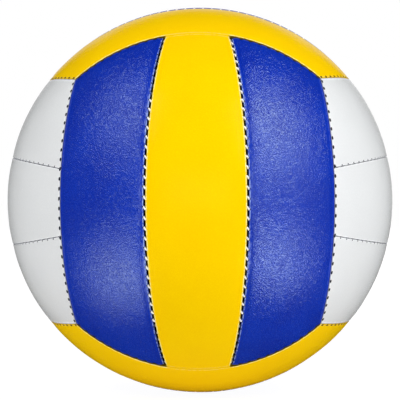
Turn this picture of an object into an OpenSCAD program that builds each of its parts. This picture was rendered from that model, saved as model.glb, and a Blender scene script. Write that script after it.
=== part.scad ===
// Volleyball: eighteen stitched cover panels in six faces of three strips, a backing pad under
// each panel, the seam thread of each face, an air bladder, and a needle valve at the back.
// Millimetres. The origin is the ball's centre, +Z is up, and -Y is the front.

/* [Ball] */
// Diameter over the cover
ball_d = 210; // [200:1:212]
// Arc across the three strips of a face, at its middle
face_w = 140; // [137:1:144]
// Arc across a middle strip, at its middle
middle_w = 47.5; // [44:0.5:51]
// Straight width of a middle strip, at its ends
middle_end_w = 32; // [28:0.5:36]

/* [Cover] */
// Thickness of the cover skin
skin_t = 0.9; // [0.7:0.1:1.2]
// Depth from the outer face to the tips of the turned-in edges
cover_t = 4.2; // [3.8:0.1:5]
// Thickness of a turned-in edge
fold_t = 0.9; // [0.7:0.1:1.2]
// Gap between the turned-in edges of two panels
seam_gap = 0.5; // [0.3:0.1:0.8]
// Radius of the roll along a panel's edge
edge_r = 1.3; // [0.9:0.1:1.5]

/* [Stitching] */
// Diameter of the thread that runs along each side of a seam
thread_d = 0.6; // [0.4:0.05:0.7]
// Diameter of a stitch where it crosses the seam
stitch_d = 0.5; // [0.3:0.05:0.55]
// Distance from one stitch to the next
stitch_pitch = 4.6; // [4.5:0.1:8]
// Depth of the stitches below the outer face
stitch_depth = 2.3; // [2.1:0.1:2.8]

/* [Bladder] */
// Wall of the bladder
bladder_t = 1.1; // [0.8:0.1:1.6]

/* [Valve] */
// Radius of the needle's guide hole
needle_r = 1; // [0.9:0.05:1.2]
// Depth of the guide hole, from the plug's outer face
needle_depth = 9; // [7:0.5:10]
// Radius of the funnel at the mouth of the guide hole
funnel_r = 1.7; // [1.4:0.1:2]
// Depth of the funnel
funnel_depth = 0.8; // [0.5:0.1:1.2]
// Radius of the plug's stem
plug_r = 2.6; // [2.3:0.1:3]
// Radius of the collar that keeps the plug in its housing
collar_r = 3.6; // [3.3:0.1:4]
// Height of the collar
collar_h = 2.5; // [1.5:0.1:3.5]
// Length of the plug
plug_l = 15; // [13:0.5:18]
// Width of the slit that closes behind the needle
slit_w = 2.2; // [1.8:0.1:3]
// Gap of that slit
slit_t = 0.15; // [0.1:0.05:0.3]
// Radius of the housing's neck, which shows at the outer face
neck_r = 4.6; // [4.3:0.1:5]
// Radius of the housing inside the bladder
pouch_r = 5.8; // [5.4:0.1:7]
// Radius of the housing's flange, which is bonded inside the bladder
flange_r = 14; // [11:0.5:16]
// Thickness of that flange
flange_t = 1.4; // [1:0.1:2]
// Floor under the plug
floor_t = 1.6; // [1.2:0.1:2.5]
// Radius of the air hole in that floor
air_r = 1.3; // [1:0.1:1.8]
// How far the neck and plug lie below the outer face
valve_recess = 0.6; // [0.3:0.1:1.2]
// Radius of the cloth patch round the valve's hole
patch_r = 13; // [10:0.5:15]
// Thickness of that patch
patch_t = 0.5; // [0.3:0.1:0.8]

/* [Fits] */
// Clearance between layers that lie on each other
layer_gap = 0.15; // [0.1:0.05:0.3]
// Clearance round the valve's neck and plug
neck_gap = 0.2; // [0.1:0.05:0.4]
// Clearance round the thread where it goes through a turned-in edge
thread_gap = 0.1; // [0.05:0.05:0.2]

/* [Hidden] */
$fn = 144;
overrun = 2;
ball_r = ball_d / 2;
pocket_r = ball_r - skin_t;
inner_r = ball_r - cover_t;
stitch_r = ball_r - stitch_depth;
bladder_r = inner_r - layer_gap;
flange_top_r = bladder_r - bladder_t - layer_gap;

// Shares of the ball's radius: three faces meet on the body diagonals
corner_share = 1 / sqrt(3);
middle_end_share = middle_end_w / ball_d;
// How much wider than tangent the roll is, so that it meets the skin at a slight angle
roll_share = 0.06;

// A seam is a circle on the ball, where a plane cuts it. The plane leans by tilt from the face's
// upright one, and its nearest point to the ball's centre is lat degrees round the ball from it.
function arc_angle(w) = w / ball_d * 180 / PI;
long_mid = arc_angle(face_w);
long_tilt = atan2(sin(long_mid) - corner_share, cos(long_mid) - corner_share);
long_lat = long_mid - long_tilt;
end_along_share = sqrt(1 - pow(middle_end_share, 2) - pow(sin(long_lat), 2));
end_up_share = sin(long_lat) * cos(long_tilt) + end_along_share * sin(long_tilt);
inner_mid = arc_angle(middle_w);
inner_tilt = atan2(sin(inner_mid) - middle_end_share, cos(inner_mid) - end_up_share);
inner_lat = inner_mid - inner_tilt;
// A seam is given by its tilt and the distance of its plane from the ball's centre
LONG = [long_tilt, ball_r * sin(long_lat)];
INNER = [inner_tilt, ball_r * sin(inner_lat)];

// The thread lies just inside the pocket, beside the turned-in edge
thread_off = seam_gap / 2 + fold_t + thread_gap + thread_d / 2;
pad_inset = thread_off + thread_d / 2 + thread_gap;
thread_stop = pad_inset + thread_d;

// Turns that carry the top face, with its strips along X, to each face
RIGHT_TURN = [90, 0, 90];
BACK_TURN = [0, -90, -90];
TOP_TURN = [0, 0, 0];
// Each face: name, turn, whether it is the opposite one, names and colours of its three strips
SIDE_STRIPS = ["lower", "middle", "upper"];
FLAT_STRIPS = ["front", "middle", "rear"];
WALL_STRIPS = ["left", "middle", "right"];
PAINTED = ["mediumblue", "gold", "mediumblue"];
CAPPED = ["gold", "mediumblue", "gold"];
PALE = ["whitesmoke", "whitesmoke", "whitesmoke"];
FACES = [
    ["front", BACK_TURN, true, WALL_STRIPS, PAINTED],
    ["back", BACK_TURN, false, WALL_STRIPS, PAINTED],
    ["right", RIGHT_TURN, false, SIDE_STRIPS, PALE],
    ["left", RIGHT_TURN, true, SIDE_STRIPS, PALE],
    ["top", TOP_TURN, false, FLAT_STRIPS, CAPPED],
    ["bottom", TOP_TURN, true, FLAT_STRIPS, CAPPED]
];
PANEL_NODES = [for (f = FACES, s = f[3]) str(f[0], "_", s, "_panel")];
PAD_NODES = [for (f = FACES, s = f[3]) str(f[0], "_", s, "_backing")];
THREAD_NODES = [for (f = FACES) str(f[0], "_seam_thread")];
VALVE_NODES = ["bladder", "valve_housing", "valve_plug", "valve_patch"];

// Where a circle of radius r about the ball's centre meets a plane at height z over it
function out_at(r, z) = sqrt(r * r - z * z);

// Puts a seam's own frame, with its axis along Z and its middle at X, on the top face
module on_seam(seam) {
    rotate([-90 - seam[0], 0, 0])
        rotate([0, 0, -90])
            children();
}

// The same for the seams that end the strips, which are long seams of the neighbouring faces
module on_end(side) {
    rotate([0, 0, side < 0 ? 180 : 0])
        rotate(RIGHT_TURN)
            on_seam(LONG)
                children();
}

// All of the ball that lies past a seam's wall, seen from the panel on the given side
module past_wall(seam, side, inset) {
    wall = seam[1] + side * (seam_gap / 2 + inset);
    translate([-ball_d, -ball_d, side > 0 ? wall - 2 * ball_d : wall])
        cube(2 * ball_d);
}

// The corner that the roll along a panel's edge takes away, drawn as for the upper side
module edge_roll(seam, side) {
    wall = side * seam[1] + seam_gap / 2;
    roll_z = wall + edge_r;
    roll_c = [out_at(ball_r - edge_r, roll_z), roll_z];
    mirror([0, 0, side < 0 ? 1 : 0])
        rotate_extrude()
            difference() {
                polygon([
                    roll_c,
                    [roll_c[0], wall - overrun],
                    [ball_r + overrun, wall - overrun],
                    roll_c * (ball_r + overrun) / (ball_r - edge_r)
                ]);
                translate(roll_c)
                    circle(r = edge_r * (1 + roll_share));
            }
}

// Half the angle that a seam's thread spans about the seam's axis
function thread_half(seam) =
    let (
        a = out_at(stitch_r, seam[1]) * cos(seam[0]) * cos(long_tilt),
        b = out_at(stitch_r, seam[1]) * sin(long_tilt),
        c = LONG[1] + thread_stop + seam[1] * sin(seam[0]) * cos(long_tilt)
    )
    acos(c / sqrt(a * a + b * b)) - atan2(b, a);

// One seam's thread in the seam's frame: a run along each side, joined by the stitches
module seam_thread(seam, grow) {
    half = thread_half(seam);
    thread_out = out_at(stitch_r, seam[1]);
    stitch_step = stitch_pitch / thread_out * 180 / PI;
    stitches = floor((2 * half - thread_d / thread_out * 180 / PI) / stitch_step) + 1;
    for (side = [-1, 1])
        rotate([0, 0, -half])
            rotate_extrude(angle = 2 * half)
                translate([thread_out, seam[1] + side * thread_off])
                    square(thread_d + 2 * grow, center = true);
    for (i = [0 : stitches - 1])
        rotate([0, 0, (i - (stitches - 1) / 2) * stitch_step])
            translate([thread_out, 0, seam[1]])
                cylinder(h = 2 * thread_off, d = stitch_d + 2 * grow, center = true, $fn = 16);
}

// The seams along a strip's two sides. Each is given by its tilt and distance, its turn about the
// face's middle, and the side of it that the strip is on.
function strip_sides(strip) = strip == 0
    ? [[INNER, 0, -1], [INNER, 180, -1]]
    : [[LONG, 0, -1], [INNER, 0, 1]];

module on_side(place) {
    rotate([0, 0, place[1]])
        on_seam(place[0])
            children();
}

// What a strip is cut from: the ball inside radius r, less all that lies past its four seams.
// Strip 0 is the middle one and strip 1 the one beside it; the third is that one turned round.
module strip_block(strip, r, inset) {
    difference() {
        sphere(r = r);
        for (place = strip_sides(strip))
            on_side(place)
                past_wall(place[0], place[2], inset);
        for (side = [-1, 1])
            on_end(side)
                past_wall(LONG, 1, inset);
    }
}

// A cover panel's skin with its edges turned in, before they are rolled and pierced
module folded_panel(strip) {
    difference() {
        strip_block(strip, ball_r, 0);
        strip_block(strip, pocket_r, fold_t);
        sphere(r = inner_r);
    }
}

// The same with the roll along each of its four edges, cut one after another
module rolled_panel(strip) {
    sides = strip_sides(strip);
    difference() {
        difference() {
            difference() {
                difference() {
                    folded_panel(strip);
                    on_side(sides[0])
                        edge_roll(sides[0][0], sides[0][2]);
                }
                on_side(sides[1])
                    edge_roll(sides[1][0], sides[1][2]);
            }
            on_end(-1)
                edge_roll(LONG, 1);
        }
        on_end(1)
            edge_roll(LONG, 1);
    }
}

// A whole cover panel, pierced where the thread of its four seams goes through
module panel(strip) {
    difference() {
        rolled_panel(strip);
        for (place = strip_sides(strip))
            on_side(place)
                seam_thread(place[0], thread_gap);
        for (side = [-1, 1])
            on_end(side)
                seam_thread(LONG, thread_gap);
    }
}

// The pad that backs a panel, inside its turned-in edges and clear of the thread
module pad(strip) {
    difference() {
        strip_block(strip, pocket_r - layer_gap, pad_inset - seam_gap / 2);
        sphere(r = inner_r);
    }
}

// A face's own thread: its two inner seams and its two long outer ones
module face_thread() {
    for (turn = [0, 180])
        rotate([0, 0, turn]) {
            on_seam(INNER)
                seam_thread(INNER, 0);
            on_seam(LONG)
                seam_thread(LONG, 0);
        }
}

// Puts the top face's shape on one of the six faces
module on_face(face) {
    rotate(face[1])
        rotate([0, face[2] ? 180 : 0, 0])
            children();
}

// Puts a shape drawn along Z at the valve, which is in the middle of the back face
module at_valve() {
    rotate([-90, 0, 0])
        children();
}

// The hole through the cover for the valve's neck
module neck_hole() {
    at_valve()
        cylinder(h = ball_r + overrun, r = neck_r + neck_gap);
}

// A shell between two radii that lies inside a cylinder round the valve
module valve_disc(disc_r, outer, inner) {
    intersection() {
        difference() {
            sphere(r = outer);
            sphere(r = inner);
        }
        at_valve()
            cylinder(h = ball_r + overrun, r = disc_r);
    }
}

module bladder() {
    color("dimgray")
        difference() {
            sphere(r = bladder_r);
            sphere(r = bladder_r - bladder_t);
            neck_hole();
        }
}

plug_top = ball_r - valve_recess;
plug_foot = plug_top - plug_l;

// The rubber housing: neck, bonded flange and the pouch that holds the plug
module valve_housing() {
    color("black")
        difference() {
            union() {
                valve_disc(flange_r, flange_top_r, flange_top_r - flange_t);
                at_valve() {
                    translate([0, 0, plug_foot - neck_gap - floor_t])
                        cylinder(h = flange_top_r - flange_t / 2 - (plug_foot - neck_gap - floor_t), r = pouch_r);
                    translate([0, 0, plug_foot])
                        cylinder(h = plug_l, r = neck_r);
                }
            }
            at_valve() {
                translate([0, 0, plug_foot - neck_gap])
                    cylinder(h = plug_l + overrun, r = plug_r + neck_gap);
                translate([0, 0, plug_foot - neck_gap])
                    cylinder(h = collar_h + 2 * neck_gap, r = collar_r + neck_gap);
                translate([0, 0, plug_foot - floor_t - overrun])
                    cylinder(h = floor_t + 2 * overrun, r = air_r);
            }
        }
}

// The plug: stem and collar, a funnel and guide hole for the needle, and the slit behind it
module valve_plug() {
    color("darkslategray")
        at_valve()
            difference() {
                union() {
                    translate([0, 0, plug_foot])
                        cylinder(h = plug_l, r = plug_r);
                    translate([0, 0, plug_foot])
                        cylinder(h = collar_h, r = collar_r);
                }
                translate([0, 0, plug_top - needle_depth])
                    cylinder(h = needle_depth + overrun, r = needle_r);
                translate([0, 0, plug_top - funnel_depth])
                    cylinder(h = funnel_depth, r1 = needle_r, r2 = funnel_r);
                translate([-slit_w / 2, -slit_t / 2, plug_foot - overrun])
                    cube([slit_w, slit_t, plug_l - needle_depth + 2 * overrun]);
            }
}

// The cloth ring that stiffens the cover round the valve's hole
module valve_patch() {
    color("lightgray")
        difference() {
            valve_disc(patch_r, inner_r + patch_t, inner_r);
            neck_hole();
        }
}

// Room in the backing pad for the patch and the neck
module patch_room() {
    valve_disc(patch_r + layer_gap, inner_r + patch_t + layer_gap, inner_r - overrun);
    neck_hole();
}

for (f = FACES, i = [0 : 2]) {
    color(f[4][i])
            difference() {
                on_face(f)
                    rotate([0, 0, i == 0 ? 180 : 0])
                        panel(i == 1 ? 0 : 1);
                if (f[0] == "back" && i == 1)
                    neck_hole();
            }
    color("ivory")
            difference() {
                on_face(f)
                    rotate([0, 0, i == 0 ? 180 : 0])
                        pad(i == 1 ? 0 : 1);
                if (f[0] == "back" && i == 1)
                    patch_room();
            }
}
for (f = FACES)
    color("white")
            on_face(f)
                face_thread();
bladder();
valve_housing();
valve_plug();
valve_patch();
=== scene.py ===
"""A stitched volleyball: cover panels, backing pads, seam threads, air bladder and needle valve.

Sizes are in millimetres until a mesh is finished. A face is modelled as the top one, with its
strips along X, the seams between them along X too, and Z outwards, and is then turned to its place.
"""
import logging
import math
from collections.abc import Callable, Iterable, Iterator
from dataclasses import dataclass, field
from enum import Enum

import bmesh
import bpy
from mathutils import Euler, Matrix, Vector, noise


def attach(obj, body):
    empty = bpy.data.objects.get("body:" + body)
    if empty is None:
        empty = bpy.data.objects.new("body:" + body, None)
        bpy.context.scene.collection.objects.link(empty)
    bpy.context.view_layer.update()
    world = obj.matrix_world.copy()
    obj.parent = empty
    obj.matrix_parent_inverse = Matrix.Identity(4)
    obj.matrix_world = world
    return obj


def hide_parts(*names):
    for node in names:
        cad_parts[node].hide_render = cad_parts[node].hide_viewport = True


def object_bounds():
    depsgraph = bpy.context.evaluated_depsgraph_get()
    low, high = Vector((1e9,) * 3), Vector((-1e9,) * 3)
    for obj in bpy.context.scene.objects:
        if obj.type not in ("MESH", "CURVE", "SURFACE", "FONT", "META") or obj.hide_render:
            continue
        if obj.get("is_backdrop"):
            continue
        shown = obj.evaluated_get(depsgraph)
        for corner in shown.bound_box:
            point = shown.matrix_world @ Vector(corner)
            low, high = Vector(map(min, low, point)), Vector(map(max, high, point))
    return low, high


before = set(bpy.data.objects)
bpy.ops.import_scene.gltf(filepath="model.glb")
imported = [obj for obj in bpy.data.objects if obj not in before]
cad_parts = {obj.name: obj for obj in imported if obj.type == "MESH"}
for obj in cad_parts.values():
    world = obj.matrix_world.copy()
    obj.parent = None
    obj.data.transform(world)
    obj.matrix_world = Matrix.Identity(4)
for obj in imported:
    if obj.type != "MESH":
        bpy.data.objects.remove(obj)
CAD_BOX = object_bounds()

logging.basicConfig(level=logging.INFO, format="%(message)s")
LOG = logging.getLogger("volleyball")

MM = 0.001
RIGHT_TURN = (90, 0, 90)
BACK_TURN = (0, -90, -90)
TOP_TURN = (0, 0, 0)
# Turns what is made round Z to the valve's axis, along +Y
VALVE_TURN = (-90, 0, 0)
# What a panel's mesh notes on each point, one for each kind of edge
INNER_EDGE = "inner_edge"
OUTER_EDGE = "outer_edge"
END_EDGE = "end_edge"
EDGE_KINDS = (INNER_EDGE, OUTER_EDGE, END_EDGE)
# The note on a panel that has no edge of that kind: far from it, and between two stitches
NO_EDGE = (99.0, 0.5, 0.0)

Colour = tuple[int, int, int]


def turned(x: float, y: float, z: float) -> Matrix:
    """A turn about X, then Y, then Z, in degrees."""
    return Euler((math.radians(x), math.radians(y), math.radians(z)), "XYZ").to_matrix().to_4x4()


def heading(side: float, up: float) -> Vector:
    """The direction at these angles to the right of the front and above the level, in degrees.

    Args:
        side: the angle round the ball from the front, to the right.
        up: the angle above the level.

    Returns:
        The direction from the ball's centre, one long.
    """
    round_by = math.radians(side)
    raised = math.radians(up)
    level = math.cos(raised)
    return Vector((math.sin(round_by) * level, -math.cos(round_by) * level, math.sin(raised)))


def bell(distance: float, width: float) -> float:
    """1 at no distance, falling smoothly to nothing past a couple of widths."""
    return math.exp(-((distance / width) ** 2))


def mixed(start: float, end: float, share: float) -> float:
    """The value a share of the way from start to end."""
    return start + (end - start) * share


def only(kind: type, items: Iterable[object]) -> list:
    """Those of an operator's results that are of one kind."""
    return [item for item in items if isinstance(item, kind)]


def from_axis(place: Vector) -> float:
    """How far a place lies from the Z axis."""
    return math.hypot(place.x, place.y)


def at_radius(place: Vector, radius: float, up: float) -> Vector:
    """A place moved to this radius round the Z axis and this height, at the same angle."""
    share = radius / from_axis(place)
    return Vector((place.x * share, place.y * share, up))


class Side(Enum):
    """Which edge of a panel: one of the two along the strip, or one of its two ends."""

    NEAR = "near"
    FAR = "far"
    TAIL = "tail"
    HEAD = "head"


class Cover(Enum):
    """The colour of a cover panel, with the name of its material slot."""

    BLUE = "blue_cover"
    YELLOW = "yellow_cover"
    WHITE = "white_cover"


@dataclass(frozen=True)
class Seam:
    """A circle on the ball, where a leaning plane cuts it.

    Attributes:
        tilt: the plane's lean, in degrees.
        reach: its distance from the ball's centre.
    """

    tilt: float
    reach: float

    def frame(self) -> Matrix:
        """Turns the seam's own frame, with its axis along Z, on to the top face."""
        return turned(-90 - self.tilt, 0, 0) @ turned(0, 0, -90)

    def ring(self, radius: float, offset: float = 0.0) -> float:
        """The radius of the circle on a ball of this radius, at an offset along the seam's axis."""
        return math.sqrt(radius**2 - (self.reach + offset) ** 2)


@dataclass(frozen=True)
class BallSizes:
    """The sizes that the part's source is built from, and what follows from them.

    Attributes:
        ball_d: the ball's diameter, taken from the CAD frame.
        face_w: the width of a face of three strips, along the ball.
        middle_w: the width of a middle strip at its middle, along the ball.
        middle_end_w: its width at its ends, straight across.
        skin: the thickness of the cover, 0.1 less here than in the source.
        cover: how deep its turned-in edges reach.
        thread_d: the diameter of the runs of thread beside a seam.
        thread_off: how far a run lies from the seam's plane.
        pad_inset: how far a backing pad stays back from the seam's plane.
        stitch_pitch: the distance from one stitch to the next.
        stitch_depth: how deep the runs and the ends of the stitches lie.
        bladder_wall: the thickness of the bladder.
        layer_gap: the clearance between layers that lie on each other.
        valve_hole_r: the radius of the hole in the cover round the valve's neck.
        patch_room_r: the radius of the hole in the pad round the valve's patch, 0.15 more than there.
    """

    ball_d: float = round((CAD_BOX[1][2] - CAD_BOX[0][2]) / MM, 2)
    face_w: float = 140.0
    middle_w: float = 47.5
    middle_end_w: float = 32.0
    skin: float = 0.8
    cover: float = 4.2
    thread_d: float = 0.6
    thread_off: float = 1.55
    pad_inset: float = 1.95
    stitch_pitch: float = 4.6
    stitch_depth: float = 2.3
    bladder_wall: float = 1.1
    layer_gap: float = 0.15
    valve_hole_r: float = 4.8
    patch_room_r: float = 13.3

    @property
    def radius(self) -> float:
        """Radius over the cover."""
        return self.ball_d / 2

    @property
    def inner(self) -> float:
        """Radius at the tips of the turned-in edges."""
        return self.radius - self.cover

    def arc(self, width: float) -> float:
        """The angle that an arc of half this width spans at the ball's centre, in degrees."""
        return math.degrees(width / self.ball_d)

    def leaning(self, mid: float, across: float, up: float) -> Seam:
        """The seam through its middle point and one more.

        Args:
            mid: angle of the seam's middle from the face's own middle, in degrees.
            across: how far the other point lies across the strips, as a share of the radius.
            up: how far it lies outwards, as a share of the radius.

        Returns:
            The seam through both.
        """
        middle = math.radians(mid)
        tilt = math.degrees(math.atan2(math.sin(middle) - across, math.cos(middle) - up))
        return Seam(tilt, self.radius * math.sin(math.radians(mid - tilt)))

    @property
    def outer_seam(self) -> Seam:
        """The long seam between two faces, which ends where three faces meet."""
        corner = 1 / math.sqrt(3)
        return self.leaning(self.arc(self.face_w), corner, corner)

    @property
    def inner_seam(self) -> Seam:
        """The seam between two strips of a face, which ends on the neighbouring faces' seams."""
        outer = self.outer_seam
        lean = math.radians(outer.tilt)
        height = outer.reach / self.radius
        end = self.middle_end_w / self.ball_d
        along = math.sqrt(1 - end**2 - height**2)
        return self.leaning(
            self.arc(self.middle_w), end, height * math.cos(lean) + along * math.sin(lean)
        )

    def stitch_angles(self, seam: Seam) -> list[float]:
        """Where the stitches of a seam are.

        They are spread evenly from its middle, as far as the seams that it ends on leave room.

        Args:
            seam: the seam.

        Returns:
            Their angles about its axis, in radians.
        """
        stop = self.pad_inset + self.thread_d
        ring = seam.ring(self.radius - self.stitch_depth)
        tilt = math.radians(seam.tilt)
        lean = math.radians(self.outer_seam.tilt)
        level = ring * math.cos(tilt) * math.cos(lean)
        rise = ring * math.sin(lean)
        wall = self.outer_seam.reach + stop + seam.reach * math.sin(tilt) * math.cos(lean)
        half = math.acos(wall / math.hypot(level, rise)) - math.atan2(rise, level)
        step = self.stitch_pitch / ring
        count = math.floor((2 * half - self.thread_d / ring) / step) + 1
        return [(i - (count - 1) / 2) * step for i in range(count)]


@dataclass(frozen=True)
class Edge:
    """How a panel's edge is finished.

    Attributes:
        half_gap: half the gap between two panels.
        roll: the radius of the edge's roll.
        pull: how far a stitch draws the edge in.
        dip: how far the whole edge lies below the panel.
    """

    half_gap: float
    roll: float
    pull: float
    dip: float


@dataclass(frozen=True)
class Relief:
    """Where a panel's face falls, swells and dips beside an edge, as distances in from its wall.

    Attributes:
        fall_w: how wide the fall of the edge's dip is.
        slope: the depth of the long gentle fall before it, and slope_w its width.
        near: how far in the smaller forms are worked out.
        valley: the share of the dip that the valley has, with valley_at and valley_w its place and width.
        crest: the share of the dip by which the crest stands up, with crest_at and crest_w as above.
        pull_at: where a stitch's pull is deepest, and pull_w its width.
        pull_l: its width along the seam.
    """

    fall_w: float = 2.4
    slope: float = 0.1
    slope_w: float = 8.0
    near: float = 5.0
    valley: float = 0.25
    valley_at: float = 1.9
    valley_w: float = 0.9
    crest: float = 0.15
    crest_at: float = 0.7
    crest_w: float = 0.5
    pull_at: float = 0.5
    pull_w: float = 0.8
    pull_l: float = 1.1

    def below(self, edge: Edge, gap: float) -> float:
        """How deep the face lies at this distance from an edge's wall, without stitches and roll."""
        return edge.dip * bell(gap, self.fall_w) + self.slope * bell(gap, self.slope_w)

    def ripple(self, edge: Edge, gap: float) -> float:
        """How much deeper the valley and the crest beside an edge make it."""
        valley = self.valley * bell(gap - self.valley_at, self.valley_w)
        return edge.dip * (valley - self.crest * bell(gap - self.crest_at, self.crest_w))

    def pulled(self, edge: Edge, gap: float, away: float) -> float:
        """How much deeper a stitch draws it, at this distance along the seam from the stitch."""
        return edge.pull * bell(gap - self.pull_at, self.pull_w) * bell(away, self.pull_l)


@dataclass
class PanelSide:
    """One edge of a panel.

    Attributes:
        seam: the seam that it lies on.
        turn: the turn that puts the seam there.
        sign: 1 where the panel lies beyond the seam's plane, and -1 where it lies on the near side.
        edge: its finish.
        angles: where its stitches are.
        inverse: the turn into the seam's own frame.
    """

    seam: Seam
    turn: Matrix
    sign: int
    edge: Edge
    angles: list[float]
    inverse: Matrix = field(init=False)

    def __post_init__(self) -> None:
        """Works out the turn into the seam's own frame."""
        self.inverse = (self.turn @ self.seam.frame()).inverted()

    def gap(self, place: Vector) -> float:
        """How far a place lies in from the wall of this edge."""
        return self.sign * ((self.inverse @ place).z - self.seam.reach) - self.edge.half_gap

    def phase(self, place: Vector) -> float:
        """How far along the seam a place lies.

        Args:
            place: the place, on the top face.

        Returns:
            The distance from the first stitch, in stitches: a whole number is at a stitch.
        """
        local = self.inverse @ place
        step = self.angles[1] - self.angles[0]
        return (math.atan2(local.y, local.x) - self.angles[0]) / step


@dataclass(frozen=True)
class Cut:
    """A plane that a row or column of a panel's grid lies in.

    Attributes:
        lean: its lean, in radians.
        reach: its distance from the ball's centre.
    """

    lean: float
    reach: float

    def shifted(self, distance: float) -> "Cut":
        """The same plane, moved across by a distance."""
        return Cut(self.lean, self.reach + distance)

    def middle(self, radius: float) -> float:
        """The angle from the face's middle at which the plane cuts a ball of this radius."""
        return self.lean + math.asin(self.reach / radius)

    def towards(self, other: "Cut", share: float) -> "Cut":
        """The plane a share of the way to another."""
        return Cut(mixed(self.lean, other.lean, share), mixed(self.reach, other.reach, share))


def crossing(row: Cut, column: Cut, radius: float) -> Vector:
    """The place where a row's plane and a column's plane meet a ball.

    Args:
        row: the row's plane, which leans across the strips.
        column: the column's plane, which leans along them.
        radius: the ball's radius.

    Returns:
        The upper one of the two places.
    """
    row_slope = math.tan(row.lean)
    column_slope = math.tan(column.lean)
    row_base = row.reach / math.cos(row.lean)
    column_base = column.reach / math.cos(column.lean)
    square = 1 + row_slope**2 + column_slope**2
    linear = row_base * row_slope + column_base * column_slope
    constant = row_base**2 + column_base**2 - radius**2
    up = (-linear + math.sqrt(linear * linear - square * constant)) / square
    return Vector((column_base + up * column_slope, row_base + up * row_slope, up))


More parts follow.
